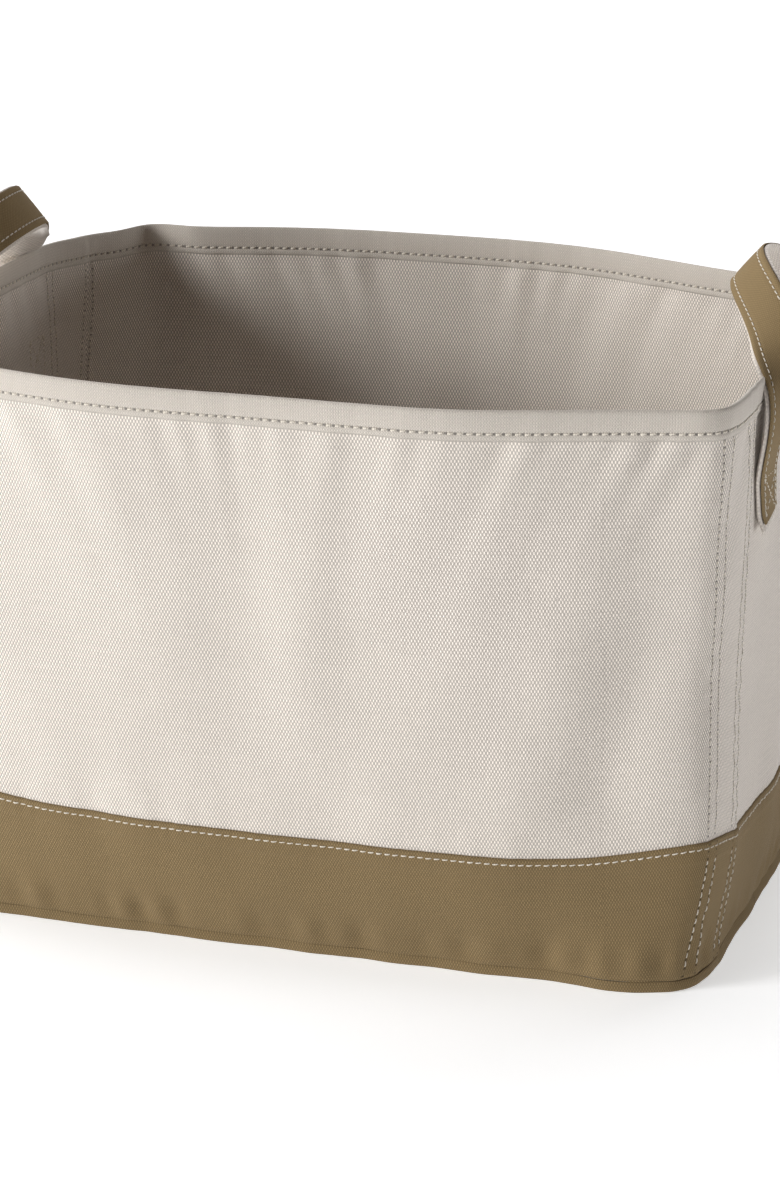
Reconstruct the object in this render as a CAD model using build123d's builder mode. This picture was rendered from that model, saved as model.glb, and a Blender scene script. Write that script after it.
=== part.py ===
from build123d import *
import math
import os

# Fabric storage bin, sewn from heavy cotton canvas, with a strap handle at each end.
# Millimetres. +X is the long way (handle to handle), +Z is up, and the origin is on the
# floor under the middle of the base.

# --- driving dimensions -------------------------------------------------------------------

RIM_HEIGHT = 280.0
BAND_HEIGHT = 66.0
WELT_HEIGHT = 5.5          # turned-up edge of the base panel
WELT_GAP = 0.2             # crease between the welt and the bands
CORNER_RADIUS = 28.0

# The outer face of the wall at three heights:
# (height, corner x, corner y, middle of the end x, middle of the long side y)
LEVELS = (
    (0.0, 190.5, 119.5, 195.0, 122.5),
    (BAND_HEIGHT, 198.0, 119.5, 203.0, 146.0),
    (RIM_HEIGHT, 199.5, 125.0, 208.5, 165.0),
)

CLOTH = 0.8                # one thickness of canvas
LAP_EDGE_Y = 79.5          # the front and back panels end here, on the end walls
TUCK_EDGE_Y = 116.0        # the end panels end here, under the laps

# Layers of cloth, counted inwards from the outer face of the wall.
LONG_BAND = (0.0, CLOTH)
LONG_PANEL = (CLOTH, 2 * CLOTH)
END_BAND = (2 * CLOTH, 3 * CLOTH)
END_PANEL = (3 * CLOTH, 4 * CLOTH)
BINDING_INSIDE = (4 * CLOTH, 5 * CLOTH)

BINDING_DEPTH = 12.5
RIM_STITCH_HEIGHT = 270.0
BAND_STITCH_DROP = 3.0     # from the folded top edge of the band down to its stitches
LAP_STITCH_Y = (81.5, 87.5, 108.0, 114.0)
THREAD = 0.5
THREAD_HEIGHT = 0.4        # how far a row of thread stands off its cloth

BOARD_THICKNESS = 2.5
BASE_INSET = 4 * CLOTH + 0.1

STRAP_WIDTH = 25.4
WEBBING = 2.6
COVER = 1.4
FOOT_Y = 65.0
FOOT_LOW = 212.0
FOOT_HIGH = 240.0
BOX_STITCH = (18.0, 21.0)  # width and height of the stitched box on a foot

ARCH_LOW = 241.5           # the strap is free above this height
ARCH_TOP = 318.0
ARCH_FOOT_X = 207.3
ARCH_FLARE = 0.12          # outward lean of the legs, as a slope
ARCH_TOP_X = 181.0
ARCH_LEAN_POWER = 5
ARCH_ROLL = math.radians(52)
ARCH_ROLL_POWER = 2.6
ARCH_STEPS = 20

BIG = 600.0


# --- building blocks ----------------------------------------------------------------------

def outline(height, inset, corner_x, corner_y, end_x, side_y):
    """The bowed, round-cornered plan of the wall at one height, drawn in by an inset."""
    cx = corner_x - inset
    cy = corner_y - inset
    with BuildSketch(Plane.XY.offset(height), mode=Mode.PRIVATE) as plan:
        with BuildLine():
            ThreePointArc((-cx, -cy), (0, inset - side_y), (cx, -cy))
            ThreePointArc((cx, -cy), (end_x - inset, 0), (cx, cy))
            ThreePointArc((cx, cy), (0, side_y - inset), (-cx, cy))
            ThreePointArc((-cx, cy), (inset - end_x, 0), (-cx, -cy))
        make_face()
        fillet(plan.vertices(), CORNER_RADIUS - inset)
    return plan.sketch


def envelope(inset):
    """The solid inside the wall's face at an inset, from the floor to the rim."""
    with BuildPart(mode=Mode.PRIVATE) as body:
        loft(sections=[outline(level[0], inset, *level[1:]) for level in LEVELS], ruled=True)
    return body.part


ENVELOPES = {}


def keep(x=(-BIG, BIG), y=(-BIG, BIG), z=(-BIG, BIG)):
    """Keeps what lies inside the ranges."""
    with Locations(((x[0] + x[1]) / 2, (y[0] + y[1]) / 2, (z[0] + z[1]) / 2)):
        Box(x[1] - x[0], y[1] - y[0], z[1] - z[0], mode=Mode.INTERSECT)


def add_layer(layer, x=(-BIG, BIG), y=(-BIG, BIG), z=(-BIG, BIG)):
    """Adds to the open part what lies inside the ranges of one layer of the wall."""
    for inset in layer:
        if inset not in ENVELOPES:
            ENVELOPES[inset] = envelope(inset)
    add(ENVELOPES[layer[0]])
    keep(x, y, z)
    add(ENVELOPES[layer[1]], mode=Mode.SUBTRACT)


def wall_piece(layer, x=(-BIG, BIG), y=(-BIG, BIG), z=(-BIG, BIG)):
    """A piece of cloth, or a raised row of thread, cut from one layer of the wall."""
    with BuildPart(mode=Mode.PRIVATE) as piece:
        add_layer(layer, x, y, z)
    return piece.part


def finish(name, part):
    """Labels a finished sub-part and writes it."""
    part.label = name
    export_step(part, f"parts/{name}.step")


def above(layer):
    """The thin layer where thread stands on the outside of a layer."""
    return (layer[0] - THREAD_HEIGHT, layer[0])


os.makedirs("parts", exist_ok=True)


# --- walls --------------------------------------------------------------------------------

FLOOR_SIDE = CLOTH         # the panels stand on the base panel
LAP = (LAP_EDGE_Y, BIG)
LAP_MIRRORED = (-BIG, -LAP_EDGE_Y)
TUCK = (-TUCK_EDGE_Y, TUCK_EDGE_Y)
BAND_RANGE = (WELT_HEIGHT + WELT_GAP, BAND_HEIGHT)
RIGHT = (0, BIG)
LEFT = (-BIG, 0)

with BuildPart() as front_panel:
    add_layer(LONG_PANEL, y=LAP_MIRRORED, z=(FLOOR_SIDE, RIM_HEIGHT))
finish("front_panel", front_panel.part)

with BuildPart() as back_panel:
    add_layer(LONG_PANEL, y=LAP, z=(FLOOR_SIDE, RIM_HEIGHT))
finish("back_panel", back_panel.part)

with BuildPart() as right_end_panel:
    add_layer(END_PANEL, x=RIGHT, y=TUCK, z=(FLOOR_SIDE, RIM_HEIGHT))
finish("right_end_panel", right_end_panel.part)

with BuildPart() as left_end_panel:
    add_layer(END_PANEL, x=LEFT, y=TUCK, z=(FLOOR_SIDE, RIM_HEIGHT))
finish("left_end_panel", left_end_panel.part)


# --- olive bands round the foot -----------------------------------------------------------

with BuildPart() as front_band:
    add_layer(LONG_BAND, y=LAP_MIRRORED, z=BAND_RANGE)
finish("front_band", front_band.part)

with BuildPart() as back_band:
    add_layer(LONG_BAND, y=LAP, z=BAND_RANGE)
finish("back_band", back_band.part)

with BuildPart() as right_end_band:
    add_layer(END_BAND, x=RIGHT, y=TUCK, z=BAND_RANGE)
finish("right_end_band", right_end_band.part)

with BuildPart() as left_end_band:
    add_layer(END_BAND, x=LEFT, y=TUCK, z=BAND_RANGE)
finish("left_end_band", left_end_band.part)


# --- base ---------------------------------------------------------------------------------

LINING_LOW = CLOTH + BOARD_THICKNESS


def base_sheet(inset, low, high):
    """A flat sheet that fills the wall's plan, at an inset, between two heights."""
    with BuildPart(mode=Mode.PRIVATE) as flat:
        add(envelope(inset))
        keep(z=(low, high))
    return flat.part


with BuildPart() as base_panel:
    add(envelope(0.0))
    keep(z=(0, WELT_HEIGHT))
    add(envelope(CLOTH), mode=Mode.SUBTRACT)
    add(base_sheet(0.0, 0.0, CLOTH))
finish("base_panel", base_panel.part)

with BuildPart() as base_board:
    add(base_sheet(BASE_INSET, CLOTH, LINING_LOW))
finish("base_board", base_board.part)

with BuildPart() as base_lining:
    add(base_sheet(BASE_INSET, LINING_LOW, LINING_LOW + CLOTH))
finish("base_lining", base_lining.part)


# --- rim binding: one tape folded over every top edge --------------------------------------

BINDING_RANGE = (RIM_HEIGHT - BINDING_DEPTH, RIM_HEIGHT)
MIDDLE = (-LAP_EDGE_Y, LAP_EDGE_Y)


def binding_cap(outer, inner, y):
    """The fold of the tape over the top edges, between two insets."""
    top = LEVELS[-1]
    with BuildPart(mode=Mode.PRIVATE) as cap:
        with BuildSketch(Plane.XY.offset(RIM_HEIGHT)):
            add(outline(0, outer, *top[1:]))
            add(outline(0, inner, *top[1:]), mode=Mode.SUBTRACT)
        extrude(amount=CLOTH)
        keep(y=y)
    return cap.part


with BuildPart() as rim_binding:
    add(wall_piece(BINDING_INSIDE, z=BINDING_RANGE))
    for lap in (LAP, LAP_MIRRORED):
        add(wall_piece(LONG_BAND, y=lap, z=BINDING_RANGE))
        add(binding_cap(LONG_BAND[0], BINDING_INSIDE[1], lap))
    add(wall_piece(END_BAND, y=MIDDLE, z=BINDING_RANGE))
    add(binding_cap(END_BAND[0], BINDING_INSIDE[1], MIDDLE))
finish("rim_binding", rim_binding.part)


# --- sewing thread, each row a fine raised line --------------------------------------------

RIM_ROW = (RIM_STITCH_HEIGHT - THREAD / 2, RIM_STITCH_HEIGHT + THREAD / 2)
BAND_STITCH_HEIGHT = BAND_HEIGHT - BAND_STITCH_DROP
BAND_ROW = (BAND_STITCH_HEIGHT - THREAD / 2, BAND_STITCH_HEIGHT + THREAD / 2)

with BuildPart() as rim_stitching:
    add(wall_piece((BINDING_INSIDE[1], BINDING_INSIDE[1] + THREAD_HEIGHT), z=RIM_ROW))
    for lap in (LAP, LAP_MIRRORED):
        add(wall_piece(above(LONG_BAND), y=lap, z=RIM_ROW))
    for side in (LEFT, RIGHT):
        add(wall_piece(above(END_BAND), x=side, y=MIDDLE, z=RIM_ROW))
finish("rim_stitching", rim_stitching.part)

with BuildPart() as band_stitching:
    for lap in (LAP, LAP_MIRRORED):
        add(wall_piece(above(LONG_BAND), y=lap, z=BAND_ROW))
    for side in (LEFT, RIGHT):
        add(wall_piece(above(END_BAND), x=side, y=MIDDLE, z=BAND_ROW))
finish("band_stitching", band_stitching.part)

with BuildPart() as lap_stitching:
    for row in LAP_STITCH_Y:
        for y in ((row - THREAD / 2, row + THREAD / 2), (-row - THREAD / 2, -row + THREAD / 2)):
            for side in (LEFT, RIGHT):
                add(wall_piece(above(LONG_PANEL), side, y, (BAND_HEIGHT, BINDING_RANGE[0])))
                add(wall_piece(above(LONG_BAND), side, y, (BAND_RANGE[0], BAND_ROW[0])))
finish("lap_stitching", lap_stitching.part)


# --- handles ------------------------------------------------------------------------------

FOOT_WEBBING = (END_PANEL[0] - WEBBING, END_PANEL[0])
FOOT_COVER = (FOOT_WEBBING[0] - COVER, FOOT_WEBBING[0])
FOOT_RANGE = (FOOT_LOW, FOOT_HIGH)
SIDES = {"right": RIGHT, "left": LEFT}
FEET = {"front": -FOOT_Y, "rear": FOOT_Y}


def handle_foot(layer, side, y):
    """The sewn end of a strap, flat on the outside of an end wall."""
    return wall_piece(layer, side, (y - STRAP_WIDTH / 2, y + STRAP_WIDTH / 2), FOOT_RANGE)


for side_name, side in SIDES.items():
    for foot_name, foot_y in FEET.items():
        with BuildPart() as foot_strap:
            add(handle_foot(FOOT_WEBBING, side, foot_y))
        finish(f"{side_name}_{foot_name}_foot_strap", foot_strap.part)

        with BuildPart() as foot_cover:
            add(handle_foot(FOOT_COVER, side, foot_y))
        finish(f"{side_name}_{foot_name}_foot_cover", foot_cover.part)


def box_stitch(y):
    """Rows of a stitched box with a cross in it, as bars along X, round the middle of a foot."""
    width, height = BOX_STITCH
    middle = (FOOT_LOW + FOOT_HIGH) / 2
    diagonal = math.hypot(width, height)
    slope = math.degrees(math.atan2(height, width))
    with BuildPart(mode=Mode.PRIVATE) as bars:
        with BuildSketch(Plane.YZ):
            with Locations((y, middle)):
                Rectangle(width + THREAD, height + THREAD)
                Rectangle(width - THREAD, height - THREAD, mode=Mode.SUBTRACT)
                for turn in (slope, -slope):
                    Rectangle(diagonal, THREAD, rotation=turn)
        extrude(amount=BIG / 2, both=True)
    return bars.part


with BuildPart() as foot_stitching:
    for side in SIDES.values():
        for foot_y in FEET.values():
            row = handle_foot(above(FOOT_COVER), side, foot_y)
            add(row.intersect(box_stitch(foot_y)))
finish("foot_stitching", foot_stitching.part)


def arch_plane(angle):
    """Where the strap is at an angle round the arch, 0 at the front foot and 180 degrees at
    the rear one. The plane's X runs across the strap, and its Y out of its covered face."""
    s = math.sin(angle)
    c = math.cos(angle)
    rise = ARCH_TOP - ARCH_LOW
    lean = ARCH_FOOT_X + ARCH_FLARE * rise - ARCH_TOP_X
    x = ARCH_FOOT_X + ARCH_FLARE * rise * s - lean * s ** ARCH_LEAN_POWER
    slope_x = ARCH_FLARE * rise * c - lean * ARCH_LEAN_POWER * s ** (ARCH_LEAN_POWER - 1) * c
    along = Vector(slope_x, FOOT_Y * s, rise * c).normalized()
    roll = s ** ARCH_ROLL_POWER
    outward_edge = Vector(0, -1 if c > 0 else 1, 0)
    rolled_edge = Vector(-math.cos(ARCH_ROLL), 0, -math.sin(ARCH_ROLL))
    across = outward_edge * (1 - roll) + rolled_edge * roll
    across = across - along * across.dot(along)
    return Plane(origin=(x, -FOOT_Y * c, ARCH_LOW + rise * s), x_dir=across, z_dir=along)


def arch_section(angle, low, high):
    """The strap's cross-section between two heights above its middle surface."""
    with BuildSketch(arch_plane(angle), mode=Mode.PRIVATE) as section:
        with Locations((0, (low + high) / 2)):
            Rectangle(STRAP_WIDTH, high - low)
    return section.sketch


ARCH_ANGLES = [math.pi * step / ARCH_STEPS for step in range(ARCH_STEPS + 1)]
HALF_STRAP = (WEBBING + COVER) / 2
ARCH_WEBBING = (-HALF_STRAP, WEBBING - HALF_STRAP)
ARCH_COVER = (WEBBING - HALF_STRAP, HALF_STRAP)

with BuildPart() as right_handle_strap:
    loft(sections=[arch_section(a, *ARCH_WEBBING) for a in ARCH_ANGLES], ruled=True)
finish("right_handle_strap", right_handle_strap.part)

with BuildPart() as right_handle_cover:
    loft(sections=[arch_section(a, *ARCH_COVER) for a in ARCH_ANGLES], ruled=True)
finish("right_handle_cover", right_handle_cover.part)

with BuildPart() as left_handle_strap:
    mirror(right_handle_strap.part, about=Plane.YZ)
finish("left_handle_strap", left_handle_strap.part)

with BuildPart() as left_handle_cover:
    mirror(right_handle_cover.part, about=Plane.YZ)
finish("left_handle_cover", left_handle_cover.part)
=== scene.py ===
import functools
import math

import bpy
import mathutils
import numpy as np
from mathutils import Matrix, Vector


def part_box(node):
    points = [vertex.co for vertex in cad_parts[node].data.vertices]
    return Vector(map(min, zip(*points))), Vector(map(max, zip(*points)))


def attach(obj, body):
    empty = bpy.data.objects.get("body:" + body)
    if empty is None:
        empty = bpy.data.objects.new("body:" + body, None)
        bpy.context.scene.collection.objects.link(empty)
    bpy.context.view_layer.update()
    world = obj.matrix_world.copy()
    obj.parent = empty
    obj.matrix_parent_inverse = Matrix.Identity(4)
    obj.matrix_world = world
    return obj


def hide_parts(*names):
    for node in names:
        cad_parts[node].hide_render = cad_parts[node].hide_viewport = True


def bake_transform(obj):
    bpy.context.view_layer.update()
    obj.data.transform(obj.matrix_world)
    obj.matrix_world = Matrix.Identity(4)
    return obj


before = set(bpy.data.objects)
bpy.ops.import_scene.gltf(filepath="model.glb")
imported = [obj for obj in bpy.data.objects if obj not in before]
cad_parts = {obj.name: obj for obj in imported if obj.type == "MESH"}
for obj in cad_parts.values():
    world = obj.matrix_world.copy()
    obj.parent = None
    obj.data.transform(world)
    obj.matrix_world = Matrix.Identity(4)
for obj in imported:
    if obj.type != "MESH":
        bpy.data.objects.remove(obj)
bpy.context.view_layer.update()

# Fabric storage bin: canvas walls with lapped corners, a bound rim, an olive band and base,
# and a strap handle at each end. Sizes here are in millimetres, and mesh() turns them into
# metres. Pieces of the wall all follow one surface, so that no layer cuts through another.

MM = 0.001
rng = np.random.default_rng(7)


def low(node):
    return np.array(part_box(node)[0]) / MM


def high(node):
    return np.array(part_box(node)[1]) / MM


RIM = high("front_panel")[2]
BAND_TOP = high("front_band")[2]
WELT_TOP = high("base_panel")[2]
CLOTH = low("front_panel")[2]              # the panels stand on one thickness of canvas
LAP_EDGE = abs(high("front_panel")[1])     # the front and back panels end at this y
TUCK_EDGE = high("right_end_panel")[1]     # the end panels end at this y, under the laps
BINDING_LOW = low("rim_binding")[2]
TAPE_LOW = BINDING_LOW - 1.0
RIM_ROW = (low("rim_stitching")[2] + high("rim_stitching")[2]) / 2
BAND_ROW = (low("band_stitching")[2] + high("band_stitching")[2]) / 2
LINING_LOW = low("base_lining")[2]
LINING_HIGH = high("base_lining")[2]
FOOT_Y = (low("right_rear_foot_strap")[1] + high("right_rear_foot_strap")[1]) / 2
FOOT_LOW = low("right_rear_foot_strap")[2]
FOOT_HIGH = high("right_rear_foot_strap")[2]
STRAP_WIDTH = high("right_rear_foot_strap")[1] - low("right_rear_foot_strap")[1]

LAP_ROWS = (81.5, 87.5, 108.0, 114.0)      # the y of the four rows of a lapped seam
ROW_SPREAD = 6.0                           # how much wider the seam is at the rim
ROW_SPREAD_RANGE = (120.0, 262.0)
RIM_STITCH = 4.2                           # one stitch of the rim, and its gap
SEAM_STITCH = 3.6                          # one stitch of the other rows
ON_END = 150.0                             # up to the laps' y, only end walls are this far out in x


# --- the wall's surface -------------------------------------------------------------------

# The wall's plan at three heights: height, corner x, corner y, middle of the end x, middle of
# the long side y, and how softly the corners turn.
PLANS = np.array((
    (0.0, 190.5, 119.5, 193.6, 122.5, 17.0),
    (BAND_TOP, 198.0, 120.5, 203.0, high("back_band")[1], 12.0),
    (RIM, 199.5, 125.0, 208.5, high("rim_binding")[1], 8.0),
))

# Where hands and folding have pushed the cloth in or out: the middle, how far it spreads
# along the wall and up it, and how far the cloth stands out there.
DENTS = (
    ((-104.0, -155.0, 280.0), 48.0, 70.0, 5.5),
    ((80.0, -160.0, 285.0), 40.0, 60.0, 1.5),
    ((197.0, -112.0, 275.0), 16.0, 30.0, 1.5),
    ((40.0, -150.0, 120.0), 60.0, 55.0, -2.5),
    ((-165.0, -146.0, 165.0), 40.0, 70.0, 3.5),
    ((16.0, -155.0, 175.0), 13.0, 45.0, 2.4),
    ((-20.0, -155.0, 190.0), 14.0, 40.0, -1.7),
    ((-74.0, -158.0, 234.0), 12.0, 22.0, 1.2),
    ((150.0, -146.0, 196.0), 13.0, 24.0, 2.1),
    ((134.0, -143.0, 150.0), 13.0, 28.0, 2.7),
    ((117.0, -138.0, 102.0), 13.0, 22.0, 2.3),
    ((178.0, -137.0, 190.0), 12.0, 26.0, -1.8),
    ((164.0, -135.0, 146.0), 12.0, 28.0, -2.6),
    ((149.0, -132.0, 104.0), 12.0, 20.0, -2.4),
    ((110.0, -146.0, 70.0), 45.0, 35.0, 1.5),
    ((-60.0, -126.0, 13.0), 12.0, 10.0, -1.2),
    ((-8.0, -126.0, 12.0), 9.0, 9.0, -1.6),
    ((34.0, -126.0, 12.0), 9.0, 10.0, -1.8),
    ((72.0, -126.0, 14.0), 9.0, 9.0, -2.0),
    ((124.0, -124.0, 15.0), 11.0, 11.0, -2.6),
    ((155.0, -122.0, 4.0), 15.0, 14.0, 2.8),
    ((193.0, -84.0, 2.0), 16.0, 5.0, 1.6),
    ((190.0, -100.0, 22.0), 14.0, 14.0, -2.2),
    ((201.0, 0.0, 140.0), 50.0, 70.0, -2.5),
    ((-201.0, 20.0, 150.0), 50.0, 70.0, -2.0),
    ((-30.0, 152.0, 140.0), 70.0, 70.0, -2.5),
    ((90.0, 158.0, 180.0), 45.0, 60.0, 2.0),
)
# Where a whole corner or stretch of wall has been moved: the middle, how far it spreads, and
# the move in x and y.
PUSHES = (
    ((-200.0, 125.0, 280.0), 24.0, 60.0, (11.0, -12.0)),
    ((-166.0, 136.5, 280.0), 12.5, 50.0, (-5.0, 9.0)),
    ((150.0, 141.0, 280.0), 50.0, 60.0, (-3.0, -13.0)),
    ((199.0, -122.0, 140.0), 24.0, 34.0, (-3.5, 2.5)),
    ((199.0, 126.0, 170.0), 26.0, 45.0, (-3.0, -3.0)),
)


def nearness(x, y, z, middle, spread, height):
    """From 1 in the middle of a dent or push to 0 far from it."""
    cx, cy, cz = middle
    near = ((x - cx) ** 2 + (y - cy) ** 2) / (2 * spread ** 2) + (z - cz) ** 2 / (2 * height ** 2)
    return np.exp(-near)


def smoothstep(a, b, v):
    """From 0 at a to 1 at b, without corners."""
    u = np.clip((v - a) / (b - a), 0, 1)
    return u * u * (3 - 2 * u)


def unit(vectors):
    return vectors / np.linalg.norm(vectors, axis=-1, keepdims=True)


def run_along(path):
    """The distance along a path to each of its points."""
    return np.concatenate([[0], np.cumsum(np.linalg.norm(np.diff(path, axis=0), axis=1))])


def points_at(distances, run, path):
    """What a path, or values at its points, comes to at distances along it."""
    return np.stack([np.interp(distances, run, column) for column in path.T], -1)


def waves(lengths, around):
    """A smooth random wave that closes on itself, with a mean size of about 1."""
    numbers = np.arange(int(around / lengths[1]), int(around / lengths[0]) + 1)
    sizes = rng.normal(size=len(numbers))
    phases = rng.uniform(0, 2 * math.pi, len(numbers))
    level = math.sqrt((sizes ** 2).sum() / 2)

    def value(t):
        angle = 2 * math.pi * np.multiply.outer(np.asarray(t, float), numbers) + phases
        return (np.sin(angle) * sizes).sum(-1) / level
    return value


AROUND = 1400.0                            # the rim's length, about
SEAM_LENGTH = 400.0                        # more than the walls' height, so no wave repeats
broad = waves((130.0, 400.0), AROUND)
folds = waves((34.0, 90.0), AROUND)
puckers = waves((16.0, 36.0), AROUND)
fine_puckers = waves((7.0, 12.0), AROUND)
seam_puckers = waves((9.0, 18.0), SEAM_LENGTH)
seam_fine = waves((5.0, 8.0), SEAM_LENGTH)


def plan(z):
    """The plan's sizes at one height, on a smooth curve through PLANS."""
    h = np.diff(PLANS[:, 0])
    slope = np.diff(PLANS[:, 1:], axis=0) / h[:, None]
    middle = np.where(
        slope[0] * slope[1] > 0,
        2 * slope[0] * slope[1] / np.where(slope[0] + slope[1] == 0, 1, slope[0] + slope[1]),
        0.0,
    )
    ends = np.array((1.5 * slope[0] - 0.5 * middle, middle, 1.5 * slope[1] - 0.5 * middle))
    k = 0 if z < PLANS[1, 0] else 1
    u = (z - PLANS[k, 0]) / h[k]
    return (
        PLANS[k, 1:] * (1 + 2 * u) * (1 - u) ** 2
        + ends[k] * h[k] * u * (1 - u) ** 2
        + PLANS[k + 1, 1:] * u * u * (3 - 2 * u)
        + ends[k + 1] * h[k] * u * u * (u - 1)
    )


SAMPLES = 2048


@functools.lru_cache(maxsize=None)
def outline_at(z):
    corner_x, corner_y, end_x, side_y, softness = plan(z)
    u = np.linspace(-1, 1, 400, endpoint=False)
    front = np.stack([corner_x * u, (side_y - corner_y) * u * u - side_y], 1)
    right = np.stack([end_x - (end_x - corner_x) * u * u, corner_y * u], 1)
    sharp = np.concatenate([front[200:], right, -front, -right, front[:200]])
    closed = np.vstack([sharp, sharp[:1]])
    run = run_along(closed)
    even = np.linspace(0, run[-1], SAMPLES, endpoint=False)
    wave = np.fft.rfftfreq(SAMPLES, run[-1] / SAMPLES)
    blur = np.exp(-2 * (math.pi * wave * softness) ** 2)
    spectrum = np.fft.rfft(points_at(even, run, closed), axis=0)
    x, y = np.fft.irfft(spectrum * blur[:, None], SAMPLES, axis=0).T
    dx, dy = (np.roll(v, -1) - np.roll(v, 1) for v in (x, y))
    size = np.hypot(dx, dy)
    return run[-1], x, y, dy / size, -dx / size


def outline(z):
    """The plan at one height, from the middle of the front towards +X: its length, and evenly
    spaced x, y and outward normal."""
    return outline_at(round(float(z), 4))


def around(s, z, turn=1):
    """The plan's x, y and outward normal at distances s along the wall. s starts in the middle
    of the front, or of the back with a turn of -1."""
    length, *values = outline(z)
    at = np.mod(s, length) / length * SAMPLES
    grid = np.arange(SAMPLES + 1)
    return [turn * np.interp(at, grid, np.append(v, v[0])) for v in values]


def row_y(row, z):
    """The y of a row of a lapped seam at one height: the outer rows spread towards the rim."""
    return row + (ROW_SPREAD * float(smoothstep(*ROW_SPREAD_RANGE, z)) if row > 100 else 0.0)


PUCKER_LEAN = 0.0004                       # the puckers run down and towards the middle
SEAM_SPREAD = 3.2                          # how wide a row of stitches gathers the cloth
# Waves that gather the cloth at one height: the wave, where it starts, how far the cloth
# stands out, and the height and spread of the gathers.
GATHERS = (
    (fine_puckers, 0.3, 0.10, BAND_ROW, 7.0),
    (folds, 0.5, 0.35, BAND_TOP, 40.0),
    (puckers, 0.4, 0.12, BAND_TOP + 5.0, 8.0),
    (puckers, 0.2, 0.50, 14.0, 8.0),
    (folds, 0.1, 0.20, 0.0, 11.0),
)


def relief(x, y, z, t):
    """How far the cloth stands out from the plan, at shares t of the way round."""
    out = 0.9 * broad(t) * min(1, z / 120)
    for middle, spread, height, amount in DENTS:
        out = out + amount * nearness(x, y, z, middle, spread, height)
    below_rim = RIM - z
    under_binding = smoothstep(RIM - BINDING_LOW - 2, RIM - BINDING_LOW + 5, below_rim)
    leaning = t + PUCKER_LEAN * np.sin(4 * math.pi * t) * below_rim
    loose = 0.12 + 0.88 * under_binding
    out = out + 0.45 * folds(leaning) * loose * math.exp(-(below_rim / 80) ** 2)
    fade = math.exp(-max(0, below_rim - 13) / 19)
    out = out + (0.52 * loose * puckers(leaning) + 0.03 * fine_puckers(t)) * fade
    for wave, start, amount, height, spread in GATHERS:
        out = out + amount * wave(t + start) * math.exp(-((z - height) / spread) ** 2)
    seam = 0.0
    for row in LAP_ROWS:
        near = np.exp(-((np.abs(y) - row_y(row, z)) / SEAM_SPREAD) ** 2)
        place = z / SEAM_LENGTH + 0.13 * np.sign(x) + 0.29 * np.sign(y) + 0.011 * row
        seam = seam + near * (0.16 * seam_puckers(place) + 0.09 * seam_fine(place) - 0.14)
    return out + seam * (np.abs(x) > ON_END)


CORNER_RISE = 9.5                          # a straight band sewn to a flared wall rises here
CORNER_SPREAD = 31.0
CORNER_X, CORNER_Y = 199.0, 121.0


def corner_lift(x, y, z):
    """How far the cloth is carried up near a corner."""
    away = (np.abs(x) - CORNER_X) ** 2 + (np.abs(y) - CORNER_Y) ** 2
    share = smoothstep(0, BAND_TOP - 8, z) * (1 - smoothstep(BAND_TOP + 20, RIM - 40, z))
    return CORNER_RISE * share * np.exp(-away / (2 * CORNER_SPREAD ** 2))


def wall_row(s, z, inset, turn=1):
    """Points at distances s along the wall at one height, at an inset from its face."""
    z = float(z)
    x, y, nx, ny = around(s, z, turn)
    t = np.mod(np.asarray(s) / outline(z)[0] + (0.5 if turn < 0 else 0.0), 1.0)
    out = relief(x, y, z, t) - inset
    points = np.stack([x + nx * out, y + ny * out, z + corner_lift(x, y, z)], -1)
    for middle, spread, height, push in PUSHES:
        points[:, :2] += nearness(x, y, z, middle, spread, height)[:, None] * push
    return points


def lap_marks(s, z, turn=1):
    """What the seams' needle holes are drawn from: the distance from the middle of an end wall
    at distances s, or 0 far from the ends, and the height."""
    x, y, _, _ = around(s, z, turn)
    return np.stack([np.abs(y) * (np.abs(x) > ON_END), np.full(len(y), z)], -1) * MM


def outward(s, z, turn=1):
    """The wall's level outward direction at distances s."""
    _, _, nx, ny = around(s, z, turn)
    return np.stack([nx, ny, np.zeros(len(nx))], -1)


def along_to(y, z):
    """The distance from the middle of the front to where the right end's wall is at this y."""
    length, _, ys, _, _ = outline(z)
    half = SAMPLES // 2
    return float(np.interp(y, ys[:half], np.arange(half) * length / SAMPLES))


# --- meshes -------------------------------------------------------------------------------

def mesh(name, points, faces, uv, material, body="root", sharp=40, laps=None):
    """A piece from points in millimetres, with its cloth coordinates uv in metres, and the
    coordinates of the lapped seams' needle holes."""
    data = bpy.data.meshes.new(name)
    data.from_pydata((np.asarray(points) * MM).tolist(), [], [tuple(f) for f in faces])
    corners = np.empty(len(data.loops), np.int32)
    data.loops.foreach_get("vertex_index", corners)
    for map_name, values in (("cloth", uv), ("laps", laps)):
        if values is not None:
            layer = data.uv_layers.new(name=map_name)
            layer.data.foreach_set("uv", np.asarray(values, np.float32)[corners].ravel())
    data.polygons.foreach_set("use_smooth", np.ones(len(data.polygons), bool))
    data.set_sharp_from_angle(angle=math.radians(sharp))
    data.materials.append(material)
    data.validate()
    piece = bpy.data.objects.new(name, data)
    bpy.context.scene.collection.objects.link(piece)
    if body:
        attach(piece, body)
    return piece


def grid_quads(index):
    """Quads over a grid of point numbers."""
    quads = np.stack([index[:-1, :-1], index[:-1, 1:], index[1:, 1:], index[1:, :-1]], -1)
    return quads.reshape(-1, 4)


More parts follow.
